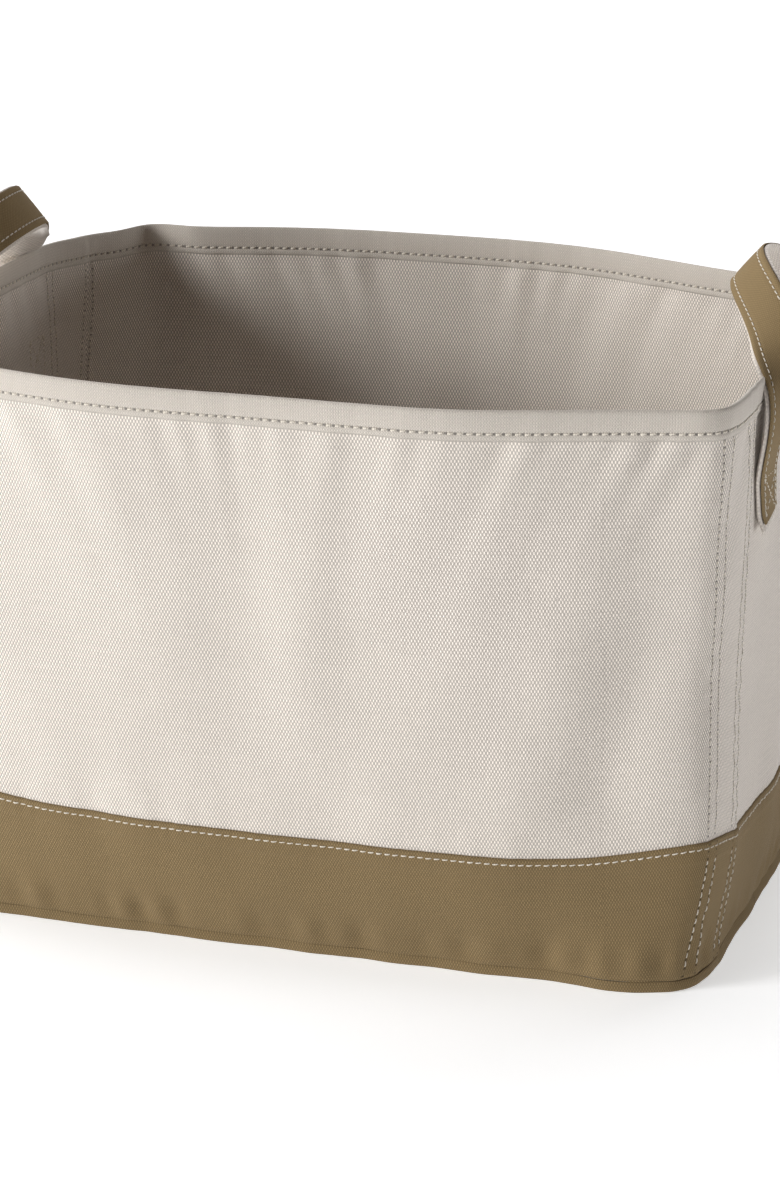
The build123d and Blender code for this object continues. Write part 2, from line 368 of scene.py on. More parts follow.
def closed_sheet(outer, inner):
    """Points and quads of a sheet with thickness, from the grids of its two faces."""
    rows, columns = outer.shape[:2]
    top = np.arange(rows * columns).reshape(rows, columns)
    under = top + rows * columns
    faces = [grid_quads(top), grid_quads(under)[:, ::-1]]
    low_edge, high_edge = (top[0], under[0]), (under[-1], top[-1])
    left_edge, right_edge = (under[:, 0], top[:, 0]), (top[:, -1], under[:, -1])
    for a, b in (low_edge, high_edge, left_edge, right_edge):
        faces.append(np.stack([a[:-1], b[:-1], b[1:], a[1:]], -1))
    return np.concatenate([outer.reshape(-1, 3), inner.reshape(-1, 3)]), np.concatenate(faces)


def ring_tube(rings, closed_run=True):
    """Points and quads over a run of rings of points; the run may close on itself."""
    rows, columns = rings.shape[:2]
    index = np.arange(rows * columns).reshape(rows, columns)
    index = np.hstack([index, index[:, :1]])
    if closed_run:
        index = np.vstack([index, index[:1]])
    return rings.reshape(-1, 3), grid_quads(index)


# --- materials ----------------------------------------------------------------------------

class Nodes:
    """A material's nodes, with short calls for the ones that are used most."""

    def __init__(self, name, roughness, sheen):
        self.material = bpy.data.materials.new(name)
        self.material.use_nodes = True
        self.tree = self.material.node_tree
        self.shader = self.tree.nodes["Principled BSDF"]
        self.shader.inputs["Roughness"].default_value = roughness
        self.shader.inputs["Sheen Weight"].default_value = sheen
        self.shader.inputs["Sheen Roughness"].default_value = 0.5
        self.shader.inputs["Specular IOR Level"].default_value = 0.2

    def put(self, value, socket):
        if isinstance(value, bpy.types.NodeSocket):
            self.tree.links.new(value, socket)
        else:
            socket.default_value = value

    def math(self, operation, a, b=0.0, c=0.0):
        node = self.tree.nodes.new("ShaderNodeMath")
        node.operation = operation
        for value, socket in zip((a, b, c), node.inputs):
            self.put(value, socket)
        return node.outputs[0]

    def swells(self, along, shift, width):
        """A wave with one swell to a yarn, for yarns of this width in millimetres."""
        shifted = self.math("ADD", along, shift)
        return self.math("SINE", self.math("MULTIPLY", shifted, math.pi / (width * MM)))

    def uv(self, name="cloth"):
        """A map's vector, and its two coordinates."""
        node = self.tree.nodes.new("ShaderNodeUVMap")
        node.uv_map = name
        split = self.tree.nodes.new("ShaderNodeSeparateXYZ")
        self.put(node.outputs[0], split.inputs[0])
        return node.outputs[0], split.outputs[0], split.outputs[1]

    def noise(self, vector, scale, detail=2.0, rough=0.5, stretch=None):
        if stretch:
            stretched = self.tree.nodes.new("ShaderNodeVectorMath")
            stretched.operation = "MULTIPLY"
            self.put(vector, stretched.inputs[0])
            stretched.inputs[1].default_value = stretch
            vector = stretched.outputs[0]
        node = self.tree.nodes.new("ShaderNodeTexNoise")
        self.put(vector, node.inputs["Vector"])
        node.inputs["Scale"].default_value = scale
        node.inputs["Detail"].default_value = detail
        node.inputs["Roughness"].default_value = rough
        return node.outputs["Fac"]

    def between(self, value, low_value, high_value, to_low=0.0, to_high=1.0):
        node = self.tree.nodes.new("ShaderNodeMapRange")
        node.interpolation_type = "SMOOTHSTEP"
        for v, socket in zip((value, low_value, high_value, to_low, to_high), node.inputs):
            self.put(v, socket)
        return node.outputs[0]

    def mix(self, factor, a, b, blend="MIX"):
        node = self.tree.nodes.new("ShaderNodeMix")
        node.data_type = "RGBA"
        node.blend_type = blend
        self.put(factor, node.inputs["Factor"])
        for value, socket in ((a, node.inputs[6]), (b, node.inputs[7])):
            self.put(value if isinstance(value, bpy.types.NodeSocket) else (*value, 1.0), socket)
        return node.outputs[2]

    def bump(self, height, distance, strength):
        node = self.tree.nodes.new("ShaderNodeBump")
        node.inputs["Strength"].default_value = strength
        node.inputs["Distance"].default_value = distance
        self.put(height, node.inputs["Height"])
        return node.outputs[0]

    def finish(self, colour, normal):
        self.put(colour, self.shader.inputs["Base Color"])
        self.put(normal, self.shader.inputs["Normal"])
        return self.material


def scaled(colour, factor):
    return tuple(min(1.0, c * factor) for c in colour)


def holes_of_laps(n):
    """Needle holes along the four rows of each lapped seam, from 0 to 1."""
    _, y, z = n.uv("laps")
    inner, _, outer, last = (row * MM for row in LAP_ROWS)
    spread_from, spread_to = (height * MM for height in ROW_SPREAD_RANGE)
    half = n.between(z, spread_from, spread_to, 0.0, ROW_SPREAD * MM / 2)
    pair = (last - outer) / 2
    middle = (inner + last) / 2
    q = n.math("ABSOLUTE", n.math("SUBTRACT", n.math("SUBTRACT", y, middle), half))
    q = n.math("ABSOLUTE", n.math("SUBTRACT", n.math("SUBTRACT", q, (outer - inner) / 2), half))
    q = n.math("ABSOLUTE", n.math("SUBTRACT", q, pair))
    across = n.between(q, 0.00022, 0.00072, 1.0, 0.0)
    step = n.math("PINGPONG", z, SEAM_STITCH * MM / 2)
    return n.math("MULTIPLY", across, n.between(step, 0.00025, 0.0006, 1.0, 0.0))


def canvas(name, colour, yarn_shading, bump, flecks=0.0, seams=True, sheen=0.15, warp=0.78, weft=1.42):
    """Plain-woven duck: raised warp and weft crossings, yarns of uneven thickness, and slow changes of
    tone. The crossings are painted lighter and the gaps between yarns darker, as painted highlight and
    shade; yarn_shading sets how strong that is. Warp and weft are the widths of one yarn, in
    millimetres."""
    n = Nodes(name, 0.88, sheen)
    uv, u, v = n.uv()
    drift = n.noise(uv, 38.0, 2.0)
    wobble = n.noise(uv, 420.0, 1.0)
    shift = n.math("MULTIPLY_ADD", wobble, 0.00022, n.math("MULTIPLY", drift, 0.0011))
    crossing = n.math("MULTIPLY", n.swells(u, shift, warp), n.swells(v, shift, weft))
    raised = n.math("POWER", n.math("ABSOLUTE", crossing), 0.6)
    over = n.between(crossing, -0.5, 0.6)
    warp_yarn = n.noise(uv, 1.0, 2.0, stretch=(900.0, 45.0, 1.0))
    weft_yarn = n.noise(uv, 1.0, 2.0, stretch=(40.0, 620.0, 1.0))
    yarns = n.math("ADD", warp_yarn, weft_yarn)
    height = n.math("MULTIPLY_ADD", over, 0.62, n.math("MULTIPLY", raised, 0.38))
    height = n.math("MULTIPLY_ADD", yarns, 0.18, height)
    grain = n.noise(uv, 1500.0, 3.0, 0.7)
    height = n.math("MULTIPLY_ADD", grain, 0.35, height)

    # Painted highlight and shade of the weave: raised crossings lighter, yarns that dip under darker,
    # and the gaps between yarns darker still.
    shaded_yarns = scaled(colour, 1 - yarn_shading)
    light = scaled(colour, 1 + yarn_shading * 0.55)
    tone = n.mix(over, shaded_yarns, light)
    gap = n.between(raised, 0.0, 0.55, 0.35, 0.0)
    tone = n.mix(gap, tone, scaled(colour, 1 - 1.6 * yarn_shading))
    uneven = n.between(yarns, 0.7, 1.3, -0.022, 0.022)
    broad_tone = n.between(n.noise(uv, 14.0, 3.0), 0.3, 0.7, -0.025, 0.025)
    level = n.math("ADD", n.math("ADD", uneven, broad_tone), 1.0)
    grey = n.tree.nodes.new("ShaderNodeCombineColor")
    for socket in grey.inputs:
        n.put(level, socket)
    tone = n.mix(1.0, tone, grey.outputs[0], "MULTIPLY")
    if flecks:
        speck = n.noise(uv, 1.0, 2.0, 0.6, stretch=(300.0, 520.0, 1.0))
        tone = n.mix(n.between(speck, 0.735, 0.78, 0.0, flecks), tone, scaled(colour, 0.42))
    if seams:
        holes = holes_of_laps(n)
        # Painted shade in the seams' needle holes, which the bump also dents in.
        tone = n.mix(n.math("MULTIPLY", holes, 0.85), tone, scaled(colour, 0.25))
        height = n.math("MULTIPLY_ADD", holes, -2.2, height)
    return n.finish(tone, n.bump(height, bump * MM, 0.9))


def ribbed_tape(name, colour, rib, holes):
    """Tape with fine ribs across it; u runs along the tape and v down from its fold. Holes is
    how far down the needle has pierced it, in millimetres."""
    n = Nodes(name, 0.85, 0.2)
    uv, u, v = n.uv()
    wobble = n.math("MULTIPLY", n.noise(uv, 260.0, 2.0), 0.0005)
    ribs = n.swells(u, wobble, rib)
    grain = n.noise(uv, 1100.0, 3.0, 0.75)
    mesh_of_yarns = n.math("MULTIPLY", ribs, n.swells(v, wobble, 0.75))
    height = n.math("MULTIPLY_ADD", mesh_of_yarns, 0.5, n.math("MULTIPLY", ribs, 0.3))
    height = n.math("MULTIPLY_ADD", grain, 0.6, height)
    # Painted highlight and shade of the tape's weave: raised crossings lighter, troughs between ribs
    # darker, and the grain darker where its bump is low, partly random fibre tone and partly painted
    # shade in its hollows.
    tone = n.mix(n.between(mesh_of_yarns, -0.9, 0.9), scaled(colour, 0.74), scaled(colour, 1.20))
    tone = n.mix(n.between(ribs, -1.0, 0.0, 0.45, 0.0), tone, scaled(colour, 0.78))
    tone = n.mix(n.between(grain, 0.35, 0.6, 0.55, 0.0), tone, scaled(colour, 0.72))
    patches = n.between(n.noise(uv, 60.0, 3.0), 0.3, 0.7)
    tone = n.mix(n.math("MULTIPLY", patches, 0.4), tone, scaled(colour, 0.93))
    step = n.math("PINGPONG", u, RIM_STITCH * MM / 2)
    along = n.between(step, 0.00038, 0.0008, 1.0, 0.0)
    away = n.math("ABSOLUTE", n.math("SUBTRACT", n.math("ABSOLUTE", v), holes * MM))
    hole_shade = n.math("MULTIPLY", along, n.between(away, 0.00032, 0.0008, 1.0, 0.0))
    # Painted shade in the rim stitches' needle holes, which the bump also dents in.
    tone = n.mix(n.math("MULTIPLY", hole_shade, 0.75), tone, scaled(colour, 0.22))
    height = n.math("MULTIPLY_ADD", hole_shade, -3.0, height)
    # Painted shade: the tape is darkened along its lower edge, as the shadow line under that edge.
    edge = n.between(v, (RIM - TAPE_LOW - 0.9) * MM, (RIM - TAPE_LOW) * MM, 0.0, 0.35)
    tone = n.mix(edge, tone, scaled(colour, 0.4))
    return n.finish(tone, n.bump(height, 0.15 * MM, 0.9))


def webbing(name, colour):
    """Coarse cotton webbing, soft and a little hairy."""
    n = Nodes(name, 0.9, 0.3)
    uv, u, v = n.uv()
    wobble = n.math("MULTIPLY", n.noise(uv, 300.0, 2.0), 0.0009)
    crossing = n.math("MULTIPLY", n.swells(u, wobble, 1.25), n.swells(v, wobble, 1.05))
    grain = n.noise(uv, 1100.0, 4.0, 0.75)
    height = n.math("MULTIPLY_ADD", crossing, 0.5, n.math("MULTIPLY", grain, 1.2))
    # Painted highlight and shade: the webbing's raised crossings are lighter, and it is darker where the
    # grain's bump is low, partly random fibre tone and partly painted shade in its hollows.
    tone = n.mix(n.between(crossing, -0.8, 0.8), scaled(colour, 0.80), scaled(colour, 1.06))
    tone = n.mix(n.between(grain, 0.35, 0.6, 0.5, 0.0), tone, scaled(colour, 0.72))
    return n.finish(tone, n.bump(height, 0.22 * MM, 0.9))


def twisted_thread(name, colour):
    """Sewing thread; u runs along it and v once round it."""
    n = Nodes(name, 0.6, 0.25)
    uv, u, v = n.uv()
    round_it = n.math("MULTIPLY", v, 2 * math.pi)
    ply = n.math("SINE", n.math("MULTIPLY_ADD", u, 2 * math.pi / (0.9 * MM), round_it))
    fuzz = n.noise(uv, 900.0, 2.0)
    # Painted shade in the grooves between the thread's plies.
    tone = n.mix(n.between(ply, -1.0, 0.4), scaled(colour, 0.72), colour)
    tone = n.mix(n.between(fuzz, 0.35, 0.65, 0.25, 0.0), tone, scaled(colour, 0.8))
    return n.finish(tone, n.bump(ply, 0.06 * MM, 0.8))


def fibre_board(name, colour):
    n = Nodes(name, 0.8, 0.0)
    place = n.tree.nodes.new("ShaderNodeTexCoord").outputs["Object"]
    fibres = n.noise(place, 1.0, 4.0, 0.7, stretch=(260.0, 900.0, 300.0))
    tone = n.mix(n.between(fibres, 0.3, 0.7), scaled(colour, 0.75), scaled(colour, 1.15))
    return n.finish(tone, n.bump(fibres, 0.15 * MM, 0.7))


CREAM = (0.778, 0.715, 0.648)
OLIVE = (0.238, 0.169, 0.083)
TAPE = (0.615, 0.566, 0.505)
THREAD = (0.80, 0.74, 0.64)

OLIVE_WEAVE = dict(sheen=0.03, warp=0.68, weft=1.2)

cream_canvas = canvas("cream_duck", CREAM, 0.42, 0.28, flecks=0.5)
lining_canvas = canvas("lining_duck", CREAM, 0.32, 0.22, flecks=0.5, seams=False)
olive_canvas = canvas("olive_duck", OLIVE, 0.34, 0.22, **OLIVE_WEAVE)
base_olive = canvas("olive_base_duck", OLIVE, 0.34, 0.22, seams=False, **OLIVE_WEAVE)
olive_cover = canvas("olive_strap_duck", OLIVE, 0.16, 0.09, seams=False, sheen=0.04, warp=0.6, weft=0.7)
rim_tape_cloth = ribbed_tape("ribbed_tape", TAPE, 0.62, holes=RIM - RIM_ROW)
strap_webbing = webbing("cotton_webbing", CREAM)
cream_thread = twisted_thread("cotton_thread", THREAD)
board = fibre_board("grey_board", (0.30, 0.25, 0.20))


# --- panels -------------------------------------------------------------------------------

SPACING = 2.6                              # of the points of a cloth grid


def heights(low_z, high_z, extra=()):
    """The heights of a panel's rows of points, with some extra ones where it bends more."""
    count = max(2, round((high_z - low_z) / SPACING) + 1)
    return np.unique(np.round(np.concatenate([np.linspace(low_z, high_z, count), extra]), 4))


# Each wall: its name, its turn, and the y on the end walls where its cloth starts and ends. A
# long wall has no start: its cloth runs from lap to lap.
WALLS = (
    ("front", 1, None, -LAP_EDGE),
    ("back", -1, None, -LAP_EDGE),
    ("right_end", 1, -TUCK_EDGE, TUCK_EDGE),
    ("left_end", -1, -TUCK_EDGE, TUCK_EDGE),
)


def panel_grid(z_values, turn, start_y, end_y, inset):
    """A panel's grid of points, and their coordinates in the cloth and in the laps."""
    ends = np.array([along_to(end_y, z) for z in z_values])
    starts = -ends if start_y is None else np.array([along_to(start_y, z) for z in z_values])
    columns = max(3, round(float(np.max(ends - starts)) / SPACING) + 1)
    rows, marks, laps = [], [], []
    for a, b, z in zip(starts, ends, z_values):
        s = np.linspace(a, b, columns)
        rows.append(wall_row(s, z, inset(z), turn))
        marks.append(np.stack([s - (a + b) / 2, np.full(columns, z)], -1) * MM)
        laps.append(lap_marks(s, z, turn))
    return np.array(rows), np.array(marks), np.array(laps)


def panel(name, node, material, z_values, span, outer, inner):
    """A panel on one wall, from the insets of its two faces at each height."""
    face, marks, laps = panel_grid(z_values, *span, outer)
    back, _, _ = panel_grid(z_values, *span, inner)
    points, faces = closed_sheet(face, back)
    uv, laps = (np.concatenate([v.reshape(-1, 2)] * 2) for v in (marks, laps))
    piece = mesh(name, points, faces, uv, material, laps=laps)
    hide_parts(node)


END_INSET = 1.65                           # of the end panels' outer face, above the band


def long_panel_inset(z):
    """The long panels lie against the band, and a little further in at its foot."""
    return CLOTH + 0.6 * (1 - smoothstep(8.0, 18.0, z))


def end_panel_inset(z):
    """The end panels lie against the laps, and further in where the end band is between."""
    return END_INSET + 0.8 * (1 - smoothstep(BAND_TOP - 2, BAND_TOP + 4, z))


for wall, *span in WALLS:
    outer = long_panel_inset if wall in ("front", "back") else end_panel_inset
    panel(f"{wall}_canvas", f"{wall}_panel", cream_canvas, heights(CLOTH, RIM),
          span, outer, lambda z: outer(z) + CLOTH)


# --- olive bands --------------------------------------------------------------------------

BAND_LOW = WELT_TOP + 0.2
band_heights = heights(BAND_LOW, BAND_TOP, extra=(
    BAND_TOP - 0.15, BAND_TOP - 0.4, BAND_TOP - 0.9, BAND_TOP - 1.8,
    BAND_ROW - 0.7, BAND_ROW, BAND_ROW + 0.7, BAND_TOP - 9.0, BAND_TOP - 9.8,
    BAND_LOW + 0.4, BAND_LOW + 1.0, BAND_LOW + 1.8,
))
BAND_ROUND = 0.9                           # how far down the band's top edge is rounded


def band_face(z):
    """How far a band's outer face lies in from where it would be if flat: its folded top edge
    is thick and round, a groove runs along its stitches, and its foot turns in under the welt."""
    thick = 0.45 * smoothstep(BAND_TOP - 10.2, BAND_TOP - 9.2, z)
    over = np.clip((z - (BAND_TOP - BAND_ROUND)) / BAND_ROUND, 0, 1)
    edge = 1 - np.sqrt(np.clip(1 - over ** 2, 0, 1))
    groove = 0.30 * math.exp(-((z - BAND_ROW) / 0.8) ** 2)
    tuck = 0.45 * (1 - smoothstep(BAND_LOW, BAND_LOW + 2.6, z)) ** 2
    return 1.05 * edge + groove + tuck - thick


for wall, *span in WALLS:
    inset = 0.0 if wall in ("front", "back") else 2 * CLOTH
    panel(f"{wall}_band_canvas", f"{wall}_band", olive_canvas, band_heights,
          span, lambda z: inset + band_face(z), lambda z: inset + CLOTH + 0.02)


# --- things that run all the way round ------------------------------------------------------

def round_steps(count):
    """Shares of the way round, counted from the middle of the front but starting in the
    middle of the right end, where the rim tape is joined."""
    return np.arange(count) / count + 0.25


def on_ends(s, z, edge=LAP_EDGE, soft=1.5):
    """1 on the end walls up to an edge's y, 0 beyond it and on the long sides, with a soft
    step. The edge is that of the laps, unless another is given."""
    x, y, _, _ = around(s, z)
    return (1 - smoothstep(edge - soft, edge + soft, np.abs(y))) * (np.abs(x) > ON_END)


def layer_inset(s, z, side, offset):
    """The inset from the wall's face of what stands out this far from the cloth: outwards from
    its outer face on side 1, or inwards from its inner face on -1."""
    if side > 0:
        return CLOTH * (1 + on_ends(s, z)) - offset
    return 2 * CLOTH + 0.85 * on_ends(s, z, TUCK_EDGE, 3.0) + offset


def ring(profile, count):
    """A profile carried round the wall. Each of its points is (side, offset, height), with the
    side and offset of layer_inset()."""
    rings = []
    for side, offset, z in profile:
        wall_z = min(z, RIM)
        s = round_steps(count) * outline(wall_z)[0]
        points = wall_row(s, wall_z, layer_inset(s, wall_z, side, offset))
        points[:, 2] = z
        rings.append(points)
    return np.array(rings).transpose(1, 0, 2)


TAPE_THICKNESS = 0.85
TAPE_COLUMNS = 900
# Half of the tape's section, as (offset, height): up its outside to the middle of its crest,
# and up its underside.
tape_face = [(0.05, TAPE_LOW), (0.45, TAPE_LOW), (0.68, TAPE_LOW + 0.5)]
for below_rim in (11.8, 11.1, 10.5, 10.0, 9.5, 8.9, 7.5, 5.5, 3.5, 1.8):
    z = RIM - below_rim
    groove = 0.42 * math.exp(-((z - RIM_ROW) / 0.7) ** 2)
    bulge = 0.2 * math.sin(math.pi * np.clip((9.5 - below_rim) / 9, 0, 1))
    tape_face.append((TAPE_THICKNESS + bulge - groove, z))
tape_face += [(0.7, RIM - 0.6), (0.35, RIM + 0.35), (-0.3, RIM + 0.75)]
tape_under = [(0.05, BINDING_LOW + 4), (0.05, RIM - 2), (-0.2, RIM + 0.05)]
tape_profile = (
    [(1, *p) for p in tape_face] + [(-1, *p) for p in reversed(tape_face)]
    + [(-1, *p) for p in tape_under] + [(1, *p) for p in reversed(tape_under)]
)

points, faces = ring_tube(ring(tape_profile, TAPE_COLUMNS))
length = outline(RIM)[0]
down = np.array([RIM - z for _, _, z in tape_profile])
RIM_COUNT = round(length / RIM_STITCH)
run = round_steps(TAPE_COLUMNS) * RIM_COUNT * RIM_STITCH
tape_uv = np.stack(np.broadcast_arrays(run[:, None], down[None, :]), -1).reshape(-1, 2) * MM
rim_tape = mesh("rim_tape", points, faces, tape_uv, rim_tape_cloth, sharp=70)
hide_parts("rim_binding")


# --- base ---------------------------------------------------------------------------------

BASE_COLUMNS = 640


WELT_ROW = 2.7                             # the height of the outline that the base follows
END_STEP = 1.7                             # how much further in the end bands lie there


def base_ring(inset, z, share):
    """Points round the base at an inset from the wall's face; z may go up and down. Above the
    floor the edge follows the end bands, which lie further in than the long ones. A share
    below 1 draws the ring in towards the middle of the base."""
    shares = round_steps(BASE_COLUMNS)
    s = shares * outline(WELT_ROW)[0]
    closer = END_STEP * on_ends(s, WELT_ROW) * min(1.0, z / 4.0)
    points = wall_row(s, WELT_ROW, inset + closer)
    points[:, :2] *= share
    points[:, 2] = z
    if share == 1 and z > 1.0:
        points[:, 2] += 0.15 * np.clip(1 + folds(shares + 0.4), 0, 3) * min(1.0, z / 2.0)
    return points


def base_sheet(name, node, rings_of, material):
    """A piece made of rings round the base, closed in the middle at both ends. Each ring is
    (share, inset, z), as for base_ring()."""
    rings, marks = [], []
    run = round_steps(BASE_COLUMNS) * outline(WELT_ROW)[0]
    for share, inset, z in rings_of:
        edge = base_ring(inset, z, share)
        rings.append(edge)
        marks.append(edge[:, :2] if share < 1 else np.stack([run, edge[:, 2]], -1))
    points, faces = ring_tube(np.array(rings), closed_run=False)
    first = len(points)
    last = first - BASE_COLUMNS
    middles = np.array([(0, 0, rings_of[0][2]), (0, 0, rings_of[-1][2])])
    marks = np.vstack(marks + [middles[:, :2]]) * MM
    around_it = np.arange(BASE_COLUMNS)
    pairs = list(zip(around_it, np.roll(around_it, -1)))
    caps = [(first, b, a) for a, b in pairs] + [(first + 1, last + a, last + b) for a, b in pairs]
    faces = [tuple(f) for f in faces] + caps
    piece = mesh(name, np.vstack([points, middles]), faces, marks, material)
    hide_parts(node)


def disc(inset, z, shares):
    """Rings of a flat face, at these shares of the way out from its middle."""
    return [(share, inset, z) for share in shares]


# Where a flat face's rings are: many where the cloth is seen, few where it is hidden.
INWARDS = (0.97, 0.9, 0.75, 0.5, 0.25, 0.05)
FEW = (0.05, 0.5, 0.97)
BASE_TOP = CLOTH - 0.02
under = disc(0.3, 0.0, INWARDS[::-1])
lip = [(1.0, 0.9, 0.0), (1.0, 0.3, 0.3), (1.0, -0.15, 1.1), (1.0, -0.35, 2.4), (1.0, -0.35, 3.8),
       (1.0, -0.2, 4.8), (1.0, 0.05, WELT_TOP - 0.2), (1.0, 0.4, WELT_TOP - 0.1),
       (1.0, 0.7, WELT_TOP - 0.9), (1.0, 0.9, 1.2), (1.0, 1.6, BASE_TOP)]
base_sheet("base_canvas", "base_panel", under + lip + disc(0.3, BASE_TOP, INWARDS),
           base_olive)

BOARD_INSET = 5.0
board_edge = [(1.0, BOARD_INSET, 0.9), (1.0, BOARD_INSET, 3.1)]
board_rings = disc(BOARD_INSET, 0.85, FEW) + board_edge + disc(BOARD_INSET, 3.2, FEW[::-1])
base_sheet("stiffener_board", "base_board", board_rings, board)

lining_edge = [(1.0, 3.7, LINING_LOW + 0.1), (1.0, 3.6, LINING_HIGH)]
lining_top = disc(4.2, LINING_HIGH, (0.97, 0.75, 0.5, 0.25, 0.05))
base_sheet("base_lining_canvas", "base_lining", disc(4.2, LINING_LOW, FEW) + lining_edge + lining_top,
           lining_canvas)


# --- stitches -----------------------------------------------------------------------------

def short_tubes(count, steps, sides):
    """Quads over many short tubes, and the rings at their starts and at their ends."""
    one = np.arange(steps * sides).reshape(steps, sides)
    firsts = (np.arange(count) * steps * sides)[:, None]
    quads = grid_quads(np.hstack([one, one[:, :1]]))[None] + firsts[:, :, None]
    return quads.reshape(-1, 4), one[0] + firsts, one[-1] + firsts


def stitches(path, normals, pitch, radius, gap, slant=0.0, count=None):
    """Stitches along a path, as points, quads, end caps and cloth coordinates. Each is a short
    piece of thread that comes out of the cloth, lies on it and goes back in; gap is the share
    of the pitch between two, and slant turns each stitch across the row. With a count, the
    stitches are spread evenly over the path's points, to keep in step with the needle holes
    drawn on the cloth."""
    run = run_along(path)
    if count:
        run = np.linspace(0, run[-1], len(path))
    count = count or max(1, int(run[-1] / pitch))
    pitch = run[-1] / count
    starts = np.arange(count) * pitch + pitch * gap / 2
    shares = np.array([0.0, 0.14, 0.36, 0.64, 0.86, 1.0])
    lift = np.array([-0.81, 0.225, 0.81, 0.81, 0.225, -0.81])
    girth = np.array([0.75, 0.95, 1.0, 1.0, 0.95, 0.75])
    at = starts[:, None] + shares * pitch * (1 - gap)
    centre = points_at(at, run, path)
    normal = unit(points_at(at, run, normals))
    across = np.cross(normal, unit(np.gradient(centre, axis=1)))
    size = radius * (1 + 0.08 * rng.normal(size=(count, 1, 1)))
    centre = centre + normal * (lift[:, None] * size) + across * ((shares - 0.5)[:, None] * slant)
    sides = 6
    angles = (np.arange(sides) * 2 * math.pi / sides)[:, None]
    thick = (size * girth[:, None])[..., None]
    rings = (
        centre[:, :, None]
        + across[:, :, None] * np.cos(angles) * thick * 1.15
        + normal[:, :, None] * np.sin(angles) * thick * 0.9
    )
    quads, first_rings, last_rings = short_tubes(count, len(shares), sides)
    caps = np.concatenate([first_rings, last_rings[:, ::-1]])
    uv = np.stack(np.broadcast_arrays(at[:, :, None] * MM, np.arange(sides) / sides), -1)
    return rings.reshape(-1, 3), quads, caps, uv.reshape(-1, 2)


def sew(name, rows, material=cream_thread, node=None, body="root"):
    """One piece of all the stitches of some rows."""
    points, faces, uvs, offset = [], [], [], 0
    for row_points, quads, caps, uv in rows:
        points.append(row_points)
        uvs.append(uv)
        faces += (quads + offset).tolist() + (caps + offset).tolist()
        offset += len(row_points)
    points, uvs = np.concatenate(points), np.concatenate(uvs)
    piece = mesh(name, points, faces, uvs, material, body, sharp=80)
    if node:
        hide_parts(node)
    return piece


def round_row(z, side, offset):
    """The path of a row right round the wall, on its outside or inside, with its normals."""
    count = 1400
    s = np.arange(count + 1) / count * outline(z)[0]
    return wall_row(s, z, layer_inset(s, z, side, offset)), outward(s, z) * side


sew("rim_thread", [
    stitches(*round_row(RIM_ROW, side, TAPE_THICKNESS - 0.36), RIM_STITCH, 0.44, 0.30, 0.6, RIM_COUNT)
    for side in (1, -1)
], node="rim_stitching")


def band_row(turn, a, b, inset):
    """The path of a row along a band from one distance to another, with its normals."""
    s = np.linspace(a, b, 900)
    return wall_row(s, BAND_ROW, inset, turn), outward(s, BAND_ROW, turn)


lap_s = along_to(-LAP_EDGE, BAND_ROW)
far_s = along_to(LAP_EDGE, BAND_ROW)
band_rows = []
for turn in (1, -1):
    for a, b, inset in ((-lap_s, lap_s, -0.15), (lap_s, far_s, 1.45)):
        band_rows.append(stitches(*band_row(turn, a, b, inset), 3.9, 0.31, 0.24, slant=0.35))
sew("band_thread", band_rows, node="band_stitching")


def lap_row(y, turn, mirror, z_values, inset, side):
    """A row of a lapped seam, up the wall at one y."""
    path, normals = [], []
    for z in z_values:
        s = np.array([along_to(-row_y(y, z), z)]) * mirror
        path.append(wall_row(s, z, inset, turn)[0])
        normals.append(outward(s, z, turn)[0] * side)
    return np.array(path), np.array(normals)


def seam_heights(low_z, high_z):
    """Heights from one needle hole to another between two heights, two to a stitch, and how
    many stitches there are."""
    first = math.ceil(low_z / SEAM_STITCH)
    count = math.floor(high_z / SEAM_STITCH) - first
    return (first + np.arange(2 * count + 1) / 2) * SEAM_STITCH, count


INNER_THREAD = 2.45                        # the inset of the threads on the walls' inside

outside, inside = [], []
above_band = seam_heights(BAND_TOP + 0.2, BINDING_LOW + 1.0)
on_band = seam_heights(BAND_LOW + 2.0, BAND_ROW + 1.5)
inner_z = seam_heights(LINING_HIGH + 3, BINDING_LOW + 1.0)
for turn in (1, -1):
    for mirror in (1, -1):
        for y in LAP_ROWS:
            for rows, (z_values, count), inset, side, radius in (
                (outside, above_band, CLOTH, 1, 0.27),
                (outside, on_band, 0.0, 1, 0.29),
                (inside, inner_z, INNER_THREAD, -1, 0.27),
            ):
                path, normals = lap_row(y, turn, mirror, z_values, inset, side)
                rows.append(stitches(path, normals, SEAM_STITCH, radius, 0.34, count=count))
sew("lap_thread", outside, node="lap_stitching")
sew("lap_thread_inside", inside)


# --- handles ------------------------------------------------------------------------------

WEBBING = 2.3
COVER = 1.3
HALF = (WEBBING + COVER) / 2
HANDLE_LOW = FOOT_HIGH
# One set of sizes for each handle: where the loop starts, where its top is, how square the
# arch is, when it leans and rolls, how far it rolls, how its legs flare, and how far the raw
# ends of its front and rear feet are sewn to one side.
HANDLES = {
    "right": dict(
        side=1, foot_x=206.4, top_x=181.6, top_z=316.5, square=1.85,
        lean=3.7, turn=1.4, roll=0.87, flare=0.19, slips=(9.0, -2.0),
    ),
    "left": dict(
        side=-1, foot_x=206.2, top_x=180.8, top_z=317.3, square=2.22,
        lean=2.6, turn=1.7, roll=0.89, flare=0.11, slips=(2.0, 0.0),
    ),
}


def blurred(values, steps):
    """Values along a path, smoothed, with the two ends kept."""
    kernel = np.hanning(2 * steps + 3)[1:-1]
    kernel /= kernel.sum()
    before = 2 * values[0] - values[steps:0:-1]
    after = 2 * values[-1] - values[-2:-steps - 2:-1]
    padded = np.vstack([before, values, after])
    return np.stack([np.convolve(column, kernel, "valid") for column in padded.T], -1)


